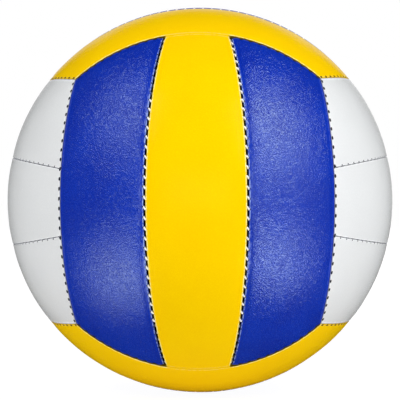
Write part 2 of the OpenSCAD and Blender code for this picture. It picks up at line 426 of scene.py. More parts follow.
@dataclass
class PanelShape:
    """A cover panel's grid on the top face, as the middle strip or the one beside it.

    Attributes:
        sizes: the ball's sizes.
        beside: whether it is a strip beside the middle one.
        middle_edge: the finish of a middle strip's long edges.
        beside_edge: the finish of the edge that faces the middle strip.
        shut_edge: the finish of the other edges, where two faces meet.
        relief: how the face falls towards the edges.
        spacing: the grid's spacing away from the edges.
        least_count: the fewest lines of the grid away from the edges.
        roll_steps: the grid's lines on an edge's roll, in degrees round it.
        rim_steps: its lines beside the roll, as distances.
        wall_steps: its lines down a turned-in edge, as depths, before the tip.
        least_step: how far each of those lies at least below the one before.
        sides: the four edges.
        rows: the planes of the grid's rows.
        columns: the planes of its columns.
    """

    sizes: BallSizes
    beside: bool
    middle_edge: Edge = Edge(half_gap=0.36, roll=0.45, pull=0.1, dip=0.3)
    beside_edge: Edge = Edge(half_gap=0.42, roll=0.6, pull=0.2, dip=0.45)
    shut_edge: Edge = Edge(half_gap=0.08, roll=0.4, pull=0.08, dip=0.16)
    relief: Relief = Relief()
    spacing: float = 1.1
    least_count: int = 8
    roll_steps: tuple[int, ...] = (0, 20, 40, 60, 78)
    rim_steps: tuple[float, ...] = (0.12, 0.5, 1.0, 1.6, 2.3, 3.2)
    wall_steps: tuple[float, ...] = (1.7, 2.4, 3.3)
    least_step: float = 0.05
    sides: dict[Side, PanelSide] = field(init=False)
    rows: list[Cut] = field(init=False)
    columns: list[Cut] = field(init=False)

    def __post_init__(self) -> None:
        """Works out the panel's sides and the planes of its grid."""
        inner = self.sizes.inner_seam
        outer = self.sizes.outer_seam
        half_turn = turned(0, 0, 180)
        still = Matrix.Identity(4)
        end = turned(*RIGHT_TURN)
        inner_angles = self.sizes.stitch_angles(inner)
        outer_angles = self.sizes.stitch_angles(outer)
        # A seam's axis points away from the middle of its face, which for an end is the next face
        if self.beside:
            near = PanelSide(inner, still, 1, self.beside_edge, inner_angles)
            far = PanelSide(outer, still, -1, self.shut_edge, outer_angles)
            near_cut = Cut(math.radians(inner.tilt), inner.reach)
            far_cut = Cut(math.radians(outer.tilt), outer.reach)
        else:
            near = PanelSide(inner, half_turn, -1, self.middle_edge, inner_angles)
            far = PanelSide(inner, still, -1, self.middle_edge, inner_angles)
            near_cut = Cut(-math.radians(inner.tilt), -inner.reach)
            far_cut = Cut(math.radians(inner.tilt), inner.reach)
        self.sides = {
            Side.NEAR: near,
            Side.FAR: far,
            Side.TAIL: PanelSide(outer, half_turn @ end, 1, self.shut_edge, outer_angles),
            Side.HEAD: PanelSide(outer, end, 1, self.shut_edge, outer_angles),
        }
        upright = math.radians(90 - outer.tilt)
        self.rows = self.cuts(near_cut, far_cut, near.edge, far.edge)
        self.columns = self.cuts(
            Cut(-upright, outer.reach), Cut(upright, -outer.reach), self.shut_edge, self.shut_edge
        )

    def rim(self, edge: Edge) -> list[float]:
        """How far the grid's lines near an edge lie in from the wall, the roll's own lines first."""
        roll = [edge.roll * (1 - math.cos(math.radians(step))) for step in self.roll_steps]
        return roll + [edge.roll + beyond for beyond in self.rim_steps]

    def cuts(self, start: Cut, end: Cut, start_edge: Edge, end_edge: Edge) -> list[Cut]:
        """The grid's planes from one edge to the other.

        Args:
            start: the seam's plane at the first edge.
            end: the seam's plane at the last edge.
            start_edge: the finish of the first edge.
            end_edge: the finish of the last edge.

        Returns:
            The planes, close together near the edges and evenly spread between.
        """
        radius = self.sizes.radius
        first = [start.shifted(start_edge.half_gap + gap) for gap in self.rim(start_edge)]
        last = [end.shifted(-end_edge.half_gap - gap) for gap in self.rim(end_edge)]
        width = (last[-1].middle(radius) - first[-1].middle(radius)) * radius
        count = max(self.least_count, round(width / self.spacing))
        between = [first[-1].towards(last[-1], i / count) for i in range(1, count)]
        return first + between + last[::-1]

    def place(self, row: int, column: int, deep: float = 0.0) -> Vector:
        """Where a row and a column of the grid meet, at a depth below the ball's own surface."""
        return crossing(self.rows[row], self.columns[column], self.sizes.radius - deep)

    def grid(self, sheet: bmesh.types.BMesh) -> Iterator[tuple[bmesh.types.BMVert, int, int]]:
        """Adds the panel's grid to a mesh, still flat.

        Args:
            sheet: the mesh.

        Yields:
            Each point with its row and its column.
        """
        across = len(self.rows) - 1
        along = len(self.columns) - 1
        bmesh.ops.create_grid(sheet, x_segments=along, y_segments=across, size=1)
        for vert in sheet.verts:
            yield vert, round((vert.co.y + 1) / 2 * across), round((vert.co.x + 1) / 2 * along)

    def depth(self, place: Vector) -> float:
        """How far the cover's outer face lies below the ball's own surface.

        Args:
            place: the place on that surface, on the top face.

        Returns:
            The depth from the edge's roll, the crest and valley beside it, and the stitches' pull.
        """
        share = 0.0
        roll = 0.0
        deep = 0.0
        for side in self.sides.values():
            edge = side.edge
            gap = max(side.gap(place), 0.0)
            part = max(0.0, 1 - gap / edge.roll) ** 2
            share += part
            roll += part * edge.roll
            below = self.relief.below(edge, gap)
            if gap < self.relief.near:
                below += self.relief.ripple(edge, gap)
                phase = side.phase(place)
                away = abs(phase - round(phase)) * self.sizes.stitch_pitch
                below += self.relief.pulled(edge, gap, away)
            deep = max(deep, below)
        if share > 0:
            deep += roll / share * (1 - math.sqrt(max(0.0, 1 - min(1.0, share))))
        return deep

    def mesh(self) -> bmesh.types.BMesh:
        """The panel's outer face and its turned-in edges on the top face.

        Returns:
            An open sheet, with notes on every point about the edges.
        """
        sheet = bmesh.new()
        plan = sheet.verts.layers.float_vector.new("plan")
        for kind in EDGE_KINDS:
            sheet.verts.layers.float_vector.new(kind)
        for vert, row, column in self.grid(sheet):
            vert[plan] = (row, column, 0)
            vert.co = self.place(row, column, self.depth(self.place(row, column)))
        rim = [edge for edge in sheet.edges if edge.is_boundary]
        for below in (*self.wall_steps, self.sizes.cover):
            grown = bmesh.ops.extrude_edge_only(sheet, edges=rim)["geom"]
            for vert in only(bmesh.types.BMVert, grown):
                row, column = (round(value) for value in vert[plan][:2])
                deep = max(below, self.sizes.radius - vert.co.length + self.least_step)
                vert.co = self.place(row, column, deep)
            rim = only(bmesh.types.BMEdge, grown)
        self.mark(sheet)
        return sheet

    def mark(self, sheet: bmesh.types.BMesh) -> None:
        """Notes on every point how far in from each kind of edge it is, and where along the seam.

        The place along the seam is given both in stitches and in millimetres from its middle.

        Args:
            sheet: the panel's mesh, which has a layer for each kind of edge.
        """
        kinds = {
            INNER_EDGE: (Side.NEAR,) if self.beside else (Side.FAR, Side.NEAR),
            OUTER_EDGE: (Side.FAR,) if self.beside else (),
            END_EDGE: (Side.HEAD, Side.TAIL),
        }
        for kind, names in kinds.items():
            layer = sheet.verts.layers.float_vector[kind]
            sides = [self.sides[name] for name in names]
            for vert in sheet.verts:
                vert[layer] = self.note(vert.co, sides)

    def note(self, place: Vector, sides: list[PanelSide]) -> tuple[float, float, float]:
        """What is noted about a place and the nearest one of some edges.

        Args:
            place: the place, on the top face.
            sides: the edges of one kind, of which a panel may have none.

        Returns:
            How far in from the edge it is, and its place along the seam in stitches and millimetres.
        """
        if not sides:
            return NO_EDGE
        nearest = min(sides, key=lambda side: side.gap(place))
        phase = nearest.phase(place)
        middle = (len(nearest.angles) - 1) / 2
        return (nearest.gap(place), phase, (phase - middle) * self.sizes.stitch_pitch)


@dataclass(frozen=True)
class Face:
    """One of the six faces of the ball.

    Attributes:
        name: its name.
        turn: the turn from the top face to it, or to the one across the ball from it.
        opposite: whether it is the one across the ball.
        strips: the names of its strips.
        covers: their colours.
    """

    name: str
    turn: tuple[int, int, int]
    opposite: bool
    strips: tuple[str, str, str]
    covers: tuple[Cover, Cover, Cover]

    def matrix(self, strip: int = 1) -> Matrix:
        """The turn from the top face's shape to a strip of this face, strip 0 being turned round."""
        flip = turned(0, 180 if self.opposite else 0, 0)
        return turned(*self.turn) @ flip @ turned(0, 0, 180 if strip == 0 else 0)


WALL = ("left", "middle", "right")
STACK = ("lower", "middle", "upper")
FLAT = ("front", "middle", "rear")
PAINTED = (Cover.BLUE, Cover.YELLOW, Cover.BLUE)
CAPPED = (Cover.YELLOW, Cover.BLUE, Cover.YELLOW)
PALE = (Cover.WHITE, Cover.WHITE, Cover.WHITE)
FACES = (
    Face("front", BACK_TURN, True, WALL, PAINTED),
    Face("back", BACK_TURN, False, WALL, PAINTED),
    Face("right", RIGHT_TURN, False, STACK, PALE),
    Face("left", RIGHT_TURN, True, STACK, PALE),
    Face("top", TOP_TURN, False, FLAT, CAPPED),
    Face("bottom", TOP_TURN, True, FLAT, CAPPED),
)


class Value:
    """A number at a shader socket, on which Python's operators add Math nodes."""

    def __init__(self, graph: "Graph", socket: bpy.types.NodeSocket) -> None:
        """Wraps an output socket of a graph's node."""
        self.graph = graph
        self.socket = socket

    def maths(self, operation: str, *numbers: "Value | float") -> "Value":
        """Adds a Math node.

        Args:
            operation: the node's operation.
            numbers: its inputs, in order.

        Returns:
            The node's result.
        """
        node = self.graph.node("ShaderNodeMath", {"operation": operation}, dict(enumerate(numbers)))
        return Value(self.graph, node.outputs[0])

    def __add__(self, other: "Value | float") -> "Value":
        """The sum."""
        return self.maths("ADD", self, other)

    __radd__ = __add__

    def __sub__(self, other: "Value | float") -> "Value":
        """The difference."""
        return self.maths("SUBTRACT", self, other)

    def __rsub__(self, other: "Value | float") -> "Value":
        """The difference, the other way round."""
        return self.maths("SUBTRACT", other, self)

    def __mul__(self, other: "Value | float") -> "Value":
        """The product."""
        return self.maths("MULTIPLY", self, other)

    __rmul__ = __mul__

    def __truediv__(self, other: "Value | float") -> "Value":
        """The quotient."""
        return self.maths("DIVIDE", self, other)

    def __pow__(self, other: "Value | float") -> "Value":
        """The power."""
        return self.maths("POWER", self, other)

    def __abs__(self) -> "Value":
        """The size without its sign."""
        return self.maths("ABSOLUTE", self)

    def most(self, other: "Value | float") -> "Value":
        """The larger of the two."""
        return self.maths("MAXIMUM", self, other)

    def least(self, other: "Value | float") -> "Value":
        """The smaller of the two."""
        return self.maths("MINIMUM", self, other)

    def root(self) -> "Value":
        """The square root."""
        return self.maths("SQRT", self)

    def wave(self) -> "Value":
        """The sine."""
        return self.maths("SINE", self)

    def folded(self, span: float) -> "Value":
        """How far the number is from the nearest whole multiple of twice this span."""
        return self.maths("PINGPONG", self, span)

    def smooth(self, low: float, high: float) -> "Value":
        """A smooth step.

        Args:
            low: where it is 0.
            high: where it is 1; the step falls where this is the lower of the two.

        Returns:
            The step, from 0 to 1.
        """
        start, end, first, last = (low, high, 0.0, 1.0) if low < high else (high, low, 1.0, 0.0)
        node = self.graph.node(
            "ShaderNodeMapRange",
            {"interpolation_type": "SMOOTHSTEP"},
            {0: self, 1: start, 2: end, 3: first, 4: last},
        )
        return Value(self.graph, node.outputs[0])

    def band(self, middle: float, width: float) -> "Value":
        """1 at the middle of a band, falling smoothly to 0 at a width to either side."""
        return abs(self - middle).smooth(width, 0.0)


class Graph:
    """The nodes of a material or of the world."""

    def __init__(self, owner: bpy.types.Material | bpy.types.World) -> None:
        """Gives a material or the world an empty node tree."""
        owner.use_nodes = True
        self.owner = owner
        self.tree = owner.node_tree
        self.tree.nodes.clear()

    def node(self, kind: str, settings: dict | None = None, inputs: dict | None = None) -> bpy.types.Node:
        """Adds any node.

        Args:
            kind: the node's type.
            settings: its own settings, such as its operation.
            inputs: what its sockets get, by name or number: a number, a colour or a link.

        Returns:
            The node.
        """
        node = self.tree.nodes.new(kind)
        for key, value in (settings or {}).items():
            setattr(node, key, value)
        for key, value in (inputs or {}).items():
            socket = node.inputs[key]
            if isinstance(value, Value):
                self.tree.links.new(value.socket, socket)
            elif isinstance(value, bpy.types.NodeSocket):
                self.tree.links.new(value, socket)
            else:
                socket.default_value = value
        return node

    def places(self) -> bpy.types.NodeSocket:
        """Where each point is on the object, in millimetres."""
        source = self.node("ShaderNodeTexCoord").outputs["Object"]
        inputs = {0: source, "Scale": 1 / MM}
        return self.node("ShaderNodeVectorMath", {"operation": "SCALE"}, inputs).outputs[0]

    def parts(self, vector: bpy.types.NodeSocket) -> tuple[Value, Value, Value]:
        """The three numbers of a vector."""
        split = self.node("ShaderNodeSeparateXYZ", inputs={0: vector})
        return tuple(Value(self, output) for output in split.outputs)

    def noted(self, name: str) -> tuple[Value, Value, Value]:
        """What a mesh notes under a name on each of its points, as three numbers."""
        return self.parts(self.node("ShaderNodeAttribute", {"attribute_name": name}).outputs["Vector"])

    def cloud(self, places: bpy.types.NodeSocket, size: float, detail: float = 2.0) -> Value:
        """Soft noise.

        Args:
            places: the places that it is laid over, in millimetres.
            size: how far across its blotches are.
            detail: how much finer noise is laid over it.

        Returns:
            The noise, from 0 to 1.
        """
        settings = {"Vector": places, "Scale": 1 / size, "Detail": detail}
        return Value(self, self.node("ShaderNodeTexNoise", inputs=settings).outputs["Fac"])

    def blend(self, first: object, second: object, share: "Value | float") -> bpy.types.NodeSocket:
        """A colour that is a share of the way from the first to the second."""
        node = self.node("ShaderNodeMix", {"data_type": "RGBA"}, {0: share, 6: first, 7: second})
        return node.outputs[2]

    def bump(self, height: Value) -> bpy.types.NodeSocket:
        """The normal of a surface whose relief is this high, in millimetres."""
        node = self.node("ShaderNodeBump", inputs={"Height": height, "Distance": MM, "Strength": 1.0})
        return node.outputs[0]

    def surface(self, settings: dict) -> bpy.types.Material:
        """Finishes the material.

        Args:
            settings: what the Principled shader's sockets get, by name.

        Returns:
            The material.
        """
        shader = self.node("ShaderNodeBsdfPrincipled", inputs=settings)
        self.node("ShaderNodeOutputMaterial", inputs={0: shader.outputs[0]})
        return self.owner


def tint(red: int, green: int, blue: int) -> tuple[float, float, float, float]:
    """A colour written as it looks on a screen, 0 to 255, as a shader needs it."""
    parts = (part / 255 for part in (red, green, blue))
    return (*((p / 12.92 if p <= 0.04045 else ((p + 0.055) / 1.055) ** 2.4) for p in parts), 1.0)


class EdgeNotes:
    """What a panel's mesh notes about its edges, as values of its material."""

    def __init__(self, graph: Graph) -> None:
        """Reads the notes.

        Args:
            graph: the panel's material.
        """
        self.inner_gap, self.inner_phase, _ = graph.noted(INNER_EDGE)
        self.outer_gap, _, self.outer_along = graph.noted(OUTER_EDGE)
        self.end_gap, self.end_phase, _ = graph.noted(END_EDGE)

    def gap(self) -> Value:
        """How far in from the nearest edge of any kind."""
        return self.inner_gap.least(self.outer_gap).least(self.end_gap)


@dataclass(frozen=True)
class NeedleHoles:
    """A row of needle holes beside a seam.

    Attributes:
        inset: how far in from the edge a hole's middle is.
        half_length: half its length along the seam.
        half_width: half its width.
        ahead: how far ahead of its stitch it is, as a share of the pitch.
        outside: where its soft edge ends, as a share of its half sizes.
        inside: where its soft edge begins.
    """

    inset: float
    half_length: float
    half_width: float
    ahead: float
    outside: float
    inside: float

    def mask(self, gap: Value, phase: Value, pitch: float) -> Value:
        """1 in the holes and 0 between them.

        Args:
            gap: how far in from the edge.
            phase: how far along the seam, in stitches.
            pitch: the distance from one stitch to the next.

        Returns:
            The mask.
        """
        along = (phase - self.ahead).folded(0.5) * pitch
        away = (along / self.half_length) ** 2.0 + (abs(gap - self.inset) / self.half_width) ** 2.0
        return away.smooth(self.outside, self.inside)


END_HOLES = NeedleHoles(
    inset=0.6, half_length=0.9, half_width=0.5, ahead=-0.1, outside=1.15, inside=0.9
)
INNER_HOLES = NeedleHoles(
    inset=0.5, half_length=0.42, half_width=0.3, ahead=0.13, outside=1.2, inside=0.6
)
# The middle and half the width of each band beside an edge: the painted highlights, and the valley's
# painted shade
INNER_HIGHLIGHT = (0.4, 0.4)
OUTER_HIGHLIGHT = (0.9, 0.6)
END_HIGHLIGHT = (0.7, 0.5)
VALLEY = (2.2, 1.5)
# How far in each painted shade line at an edge fades out, and how far in it is at its darkest
OUTER_LINE = (0.6, 0.4)
END_LINE = (0.5, 0.25)
# How far in the grain begins to rise, and how far in it has its whole depth
LOOSE = (0.8, 2.8)
# How far from the middle of an outer seam the next face's middle strip ends and its side strip begins
NEXT_SIDE = (14.5, 16.0)


@dataclass(frozen=True)
class LeatherFinish:
    """Grained synthetic leather of one colour. What is called a share runs from 0 to 1.

    Attributes:
        cover: which cover it is.
        face: the leather's colour.
        shade: the colour that clouds it at random, and that is painted as shade in its wrinkles' creases
            and beside its inner seams.
        rim: the paler colour painted along its edges as a highlight, and on its wrinkles' tops as glints.
        rim_share: how strong the painted edge highlight is.
        valley_share: how far the valley beside an inner seam takes on the shade colour, as painted shade.
        edge_shade: the colour of the painted shade lines at its edges, for the shade in the gaps between
            panels.
        hole: the colour of the needle holes, painted dark as the shade inside them.
        gloss: the shader's specular level.
        grain_depth: the depth of the wrinkles.
        outer_rim: how strong the painted edge highlight is along an outer seam.
        end_rim: how strong it is at the strip's ends.
        outer_line: how strong the line along an outer seam is beside the next face's side strips.
        outer_middle_line: how much of it there is all along.
        end_line: how strong the line at the strip's ends is.
        middle_end_line: what share of that a coloured middle strip has.
        edge_line: how wide the line along an inner seam is.
        edge_inset: how far in that painted shade line and the painted edge highlight beside it begin.
        specular: the colour of its gloss.
        roughness: how dull the gloss is.
        grain_size: how far across the wrinkles are.
        drift: how far the wrinkles wander, and drift_scale how often.
        pebble_scale: how many pebbles there are to a millimetre, and pebble_depth their height.
        cloud_size: how far across the clouds of the shade are.
        patch_size: how far across the patches of the painted edge highlight are.
        hole_depth: the depth of the needle holes.
        middle_holes: how strong the needle holes of a middle strip are.
        glint_share: how far the wrinkles' tops take on the rim's colour, as painted glints.
    """

    cover: Cover
    face: Colour
    shade: Colour
    rim: Colour
    rim_share: float
    valley_share: float
    edge_shade: Colour
    hole: Colour
    gloss: float
    grain_depth: float
    outer_rim: float = 1.0
    end_rim: float = 0.2
    outer_line: float = 0.0
    outer_middle_line: float = 0.0
    end_line: float = 0.1
    middle_end_line: float = 0.2
    edge_line: float = 0.12
    edge_inset: float = 0.0
    specular: tuple[float, float, float, float] = (1.0, 1.0, 1.0, 1.0)
    roughness: float = 0.2
    grain_size: float = 0.42
    drift: float = 1.6
    drift_scale: float = 0.3
    pebble_scale: float = 0.7
    pebble_depth: float = 0.008
    cloud_size: float = 22.0
    patch_size: float = 1.5
    hole_depth: float = 0.35
    middle_holes: float = 1.0
    glint_share: float = 0.0

    def stretch(self, beside: bool) -> tuple[float, float, float]:
        """How the grain is drawn out.

        Args:
            beside: whether the strip lies beside the middle one.

        Returns:
            The grain's scale along each axis, least along those that its wrinkles run along.
        """
        if self.cover is Cover.WHITE:
            return (0.8, 1.0, 0.8)
        if beside is (self.cover is Cover.BLUE):
            return (0.8, 0.8, 1.0)
        return (1.0, 0.8, 0.8)

    def wrinkles(self, graph: Graph, places: bpy.types.NodeSocket, beside: bool) -> Value:
        """The grain's fine wrinkles.

        Args:
            graph: the material.
            places: where each point is.
            beside: whether the strip lies beside the middle one.

        Returns:
            Their height, from 0 to 1.
        """
        drift = graph.node(
            "ShaderNodeTexNoise", inputs={"Vector": places, "Scale": self.drift_scale, "Detail": 2.0}
        )
        stretched = graph.node(
            "ShaderNodeVectorMath", {"operation": "MULTIPLY"}, {0: places, 1: self.stretch(beside)}
        )
        bent = graph.node(
            "ShaderNodeVectorMath",
            {"operation": "MULTIPLY_ADD"},
            {0: drift.outputs["Color"], 1: (self.drift,) * 3, 2: stretched.outputs[0]},
        )
        return graph.cloud(bent.outputs[0], self.grain_size, 0.0)

    def pebbles(self, graph: Graph, places: bpy.types.NodeSocket) -> Value:
        """The height of the grain's faint pebbles, from 0 to 1."""
        cells = graph.node(
            "ShaderNodeTexVoronoi",
            {"feature": "DISTANCE_TO_EDGE"},
            {"Vector": places, "Scale": self.pebble_scale},
        )
        return Value(graph, cells.outputs["Distance"]).smooth(0.0, 0.4)

    def holes(self, notes: EdgeNotes, beside: bool, pitch: float) -> Value:
        """Where the needle holes are.

        Args:
            notes: what the panel's mesh notes about its edges.
            beside: whether the strip lies beside the middle one.
            pitch: the distance from one stitch to the next.

        Returns:
            1 in the holes and 0 elsewhere.
        """
        ends = END_HOLES.mask(notes.end_gap, notes.end_phase, pitch)
        if not beside:
            return ends * self.middle_holes
        return ends.most(INNER_HOLES.mask(notes.inner_gap, notes.inner_phase, pitch))

    def edge_highlight(self, notes: EdgeNotes, past_middle: Value) -> Value:
        """How strong the painted highlight along the edges is, a paler colour where a rolled edge catches
        the light.

        Args:
            notes: what the panel's mesh notes about its edges.
            past_middle: 1 beside a strip at the side of the next face.

        Returns:
            The share.
        """
        inner = (notes.inner_gap - self.edge_inset).band(*INNER_HIGHLIGHT)
        outer = notes.outer_gap.band(*OUTER_HIGHLIGHT) * (past_middle * 0.75 + 0.25) * self.outer_rim
        ends = notes.end_gap.band(*END_HIGHLIGHT) * self.end_rim
        return inner.most(outer.most(ends))

    def shade_lines(self, notes: EdgeNotes, past_middle: Value, beside: bool) -> Value:
        """How strong the painted shade lines at the edges are, where panels meet.

        Args:
            notes: what the panel's mesh notes about its edges.
            past_middle: 1 beside a strip at the side of the next face.
            beside: whether the strip lies beside the middle one.

        Returns:
            The share.
        """
        inner = (notes.inner_gap - self.edge_inset).smooth(self.edge_line, 0.0)
        outer_share = past_middle * self.outer_line + self.outer_middle_line
        end_share = 1.0 if beside or self.cover is Cover.WHITE else self.middle_end_line
        outer = notes.outer_gap.smooth(*OUTER_LINE) * outer_share
        ends = notes.end_gap.smooth(*END_LINE) * (self.end_line * end_share)
        return inner.most(outer).most(ends)

    def material(self, beside: bool, pitch: float) -> bpy.types.Material:
        """The finish for one kind of strip.

        Args:
            beside: whether the strip lies beside the middle one, and has holes along its inner seam.
            pitch: the distance from one stitch to the next.

        Returns:
            The material.
        """
        name = f"{self.cover.value}_{'side' if beside else 'middle'}"
        graph = Graph(bpy.data.materials.new(name))
        places = graph.places()
        notes = EdgeNotes(graph)
        wrinkle = self.wrinkles(graph, places, beside)
        pebble = self.pebbles(graph, places)
        # The skin is drawn tight over an edge, which flattens the grain there
        loose = notes.gap().smooth(*LOOSE) * 0.85 + 0.15
        holes = self.holes(notes, beside, pitch)

        # Random clouds of the shade colour, and painted shade in the creases between the wrinkles and
        # pebbles
        shaded = graph.cloud(places, self.cloud_size).smooth(0.3, 0.7) * 0.3
        raised = wrinkle.smooth(0.35, 0.65) * 0.6 + pebble * 0.4
        colour = graph.blend(tint(*self.face), tint(*self.shade), shaded + (1 - raised) * 0.6)
        # Painted glints: the wrinkles' tops take on the pale rim colour, for the gloss's sparkle on the
        # grain
        painted_glint = wrinkle.smooth(0.48, 0.68) * self.glint_share
        colour = graph.blend(colour, tint(*self.rim), painted_glint * loose)
        # Painted shade in the valley beside an inner seam, where the face tilts away from the light
        valley = notes.inner_gap.band(*VALLEY) * self.valley_share
        colour = graph.blend(colour, tint(*self.shade), valley)

        past_middle = abs(notes.outer_along).smooth(*NEXT_SIDE)
        patchy = graph.cloud(places, self.patch_size, 3.0).smooth(0.38, 0.56) * 0.8 + 0.2
        # Painted highlight: the pale rim colour along the edges, where a rolled edge catches the light,
        # broken into patches
        edge_highlight = self.edge_highlight(notes, past_middle) * patchy * self.rim_share
        colour = graph.blend(colour, tint(*self.rim), edge_highlight)
        # Painted shade: dark lines at the edges, for the shade in the gaps between panels
        colour = graph.blend(colour, tint(*self.edge_shade), self.shade_lines(notes, past_middle, beside))
        # Needle holes painted dark, as the shade inside them
        colour = graph.blend(colour, tint(*self.hole), holes)

        grain = wrinkle * self.grain_depth + pebble * self.pebble_depth
        return graph.surface({
            "Base Color": colour,
            "Roughness": self.roughness + (0.5 - wrinkle) * 0.25 + holes * 0.3,
            "Specular IOR Level": self.gloss,
            "Specular Tint": self.specular,
            "Normal": graph.bump(grain * loose - holes * self.hole_depth),
        })


LEATHERS = {
    Cover.BLUE: LeatherFinish(
        Cover.BLUE, face=(1, 54, 190), shade=(0, 34, 160), rim=(160, 182, 236), rim_share=0.85,
        valley_share=0.25, edge_shade=(1, 1, 3), hole=(2, 2, 8), gloss=0.85, grain_depth=0.21,
        outer_rim=0.15, end_rim=0.15, end_line=1.0, edge_inset=0.1, specular=(0.8, 0.98, 1.0, 1.0),
        glint_share=0.03,
    ),
    Cover.YELLOW: LeatherFinish(
        Cover.YELLOW, face=(255, 211, 0), shade=(250, 201, 0), rim=(255, 250, 170), rim_share=0.95,
        valley_share=0.05, edge_shade=(10, 8, 2), hole=(110, 84, 16), gloss=0.05, grain_depth=0.04,
        outer_line=0.85, outer_middle_line=0.06, end_line=0.12, edge_line=0.06,
        specular=(1.0, 0.9, 0.3, 1.0), middle_holes=0.0,
    ),
    Cover.WHITE: LeatherFinish(
        Cover.WHITE, face=(234, 236, 237), shade=(228, 230, 231), rim=(250, 252, 255), rim_share=0.8,
        valley_share=0.03, edge_shade=(116, 124, 150), hole=(0, 4, 34), gloss=0.2, grain_depth=0.04,
        end_rim=1.0, end_line=0.3,
    ),
}


@dataclass(frozen=True)
class ThreadFinish:
    """Waxed white sewing thread of two twisted plies.

    Attributes:
        colour: the colour of the plies.
        shade: the colour between them, painted as the shade in the grooves between the plies.
        twist_scale: how close together the plies' bands lie.
        fuzz_size: how far across its fuzz is.
        ply_depth: how far the plies stand up, and fuzz_depth the fuzz.
    """

    colour: Colour = (255, 255, 253)
    shade: Colour = (236, 237, 240)
    twist_scale: float = 0.9
    fuzz_size: float = 0.2
    ply_depth: float = 0.05
    fuzz_depth: float = 0.02

    def material(self) -> bpy.types.Material:
        """The finish, its plies as slanting bands of colour and relief.

        Returns:
            The material.
        """
        graph = Graph(bpy.data.materials.new("thread"))
        places = graph.places()
        twist = graph.node(
            "ShaderNodeTexWave",
            {"bands_direction": "DIAGONAL"},
            {"Vector": places, "Scale": self.twist_scale, "Distortion": 1.0},
        )
        ply = Value(graph, twist.outputs["Fac"])
        fuzz = graph.cloud(places, self.fuzz_size, 3.0)
        # The grooves between the plies are painted in the darker colour, as shade
        return graph.surface({
            "Base Color": graph.blend(tint(*self.shade), tint(*self.colour), ply * 0.6 + fuzz * 0.5),
            "Roughness": 0.55 + fuzz * 0.15,
            "Specular IOR Level": 0.35,
            "Normal": graph.bump(ply * self.ply_depth + fuzz * self.fuzz_depth),
        })


@dataclass(frozen=True)
class RubberFinish:
    """Moulded rubber with a dull bloom.

    Attributes:
        name: the material's name.
        colour: the rubber's colour.
        bloom: the colour of the bloom that lies on it in blotches.
        roughness: how dull the clean rubber is.
        blotch_size: how far across the bloom's blotches are, and blotch_depth their relief.
        fine_size: how far across its fine grain is, and fine_depth the grain's relief.
    """

    name: str
    colour: Colour
    bloom: Colour
    roughness: float
    blotch_size: float = 9.0
    blotch_depth: float = 0.05
    fine_size: float = 0.35
    fine_depth: float = 0.03

    def material(self) -> bpy.types.Material:
        """The finish, duller where the bloom lies.

        Returns:
            The material.
        """
        graph = Graph(bpy.data.materials.new(self.name))
        places = graph.places()
        blotch = graph.cloud(places, self.blotch_size, 4.0).smooth(0.4, 0.75)
        fine = graph.cloud(places, self.fine_size, 3.0)
        return graph.surface({
            "Base Color": graph.blend(tint(*self.colour), tint(*self.bloom), blotch * 0.5 + fine * 0.15),
            "Roughness": self.roughness + blotch * 0.15 + fine * 0.08,
            "Specular IOR Level": 0.4,
            "Normal": graph.bump(fine * self.fine_depth + blotch * self.blotch_depth),
        })


@dataclass(frozen=True)
class ClothFinish:
    """Plain woven cloth, its threads running along two of the ball's axes.

    Attributes:
        name: the material's name.
        colour: the threads' colour.
        gap: the darker colour between them, painted as the shade in the weave's gaps.
        thread: the distance from one thread to the next.
        weave_depth: how far the threads stand up.
        fluff_size: how far across its fluff is, and fluff_depth the fluff's relief.
    """

    name: str
    colour: Colour
    gap: Colour
    thread: float = 0.45
    weave_depth: float = 0.1
    fluff_size: float = 0.7
    fluff_depth: float = 0.04

    def material(self) -> bpy.types.Material:
        """The finish, for cloth that lies across the Y axis.

        Returns:
            The material.
        """
        graph = Graph(bpy.data.materials.new(self.name))
        places = graph.places()
        across, _, upright = graph.parts(places)
        ridges = [abs((axis * (math.pi / self.thread)).wave()) for axis in (across, upright)]
        weave = ridges[0].least(ridges[1]).smooth(0.0, 0.6)
        fluff = graph.cloud(places, self.fluff_size, 3.0)
        # The weave's gaps are painted darker, as shade
        return graph.surface({
            "Base Color": graph.blend(tint(*self.gap), tint(*self.colour), weave * 0.7 + fluff * 0.4),
            "Roughness": 0.8 + fluff * 0.15,
            "Specular IOR Level": 0.2,
            "Normal": graph.bump(weave * self.weave_depth + fluff * self.fluff_depth),
        })


@dataclass(frozen=True)
class FoamFinish:
    """Backing foam with open pores.

    Attributes:
        colour: the foam's colour.
        pore: the darker colour in its pores, painted as the shade inside them.
        pore_scale: how many pores there are to a millimetre, and pore_depth their depth.
        swell_size: how far across its soft swellings are, and swell_depth their height.
    """

    colour: Colour = (224, 219, 204)
    pore: Colour = (150, 143, 126)
    pore_scale: float = 1.6
    pore_depth: float = 0.15
    swell_size: float = 6.0
    swell_depth: float = 0.2

    def material(self) -> bpy.types.Material:
        """The finish, with the pores sunk and painted darker as shade.

        Returns:
            The material.
        """
        graph = Graph(bpy.data.materials.new("backing_foam"))
        places = graph.places()
        pores = graph.node(
            "ShaderNodeTexVoronoi", {"feature": "F1"}, {"Vector": places, "Scale": self.pore_scale}
        )
        pit = Value(graph, pores.outputs["Distance"]).smooth(0.45, 0.1)
        swell = graph.cloud(places, self.swell_size)
        # The pores are painted darker, as the shade inside them
        return graph.surface({
            "Base Color": graph.blend(tint(*self.colour), tint(*self.pore), pit * 0.6 + swell * 0.2),
            "Roughness": 0.85 + swell * 0.1,
            "Specular IOR Level": 0.15,
            "Normal": graph.bump(swell * self.swell_depth - pit * self.pore_depth),
        })


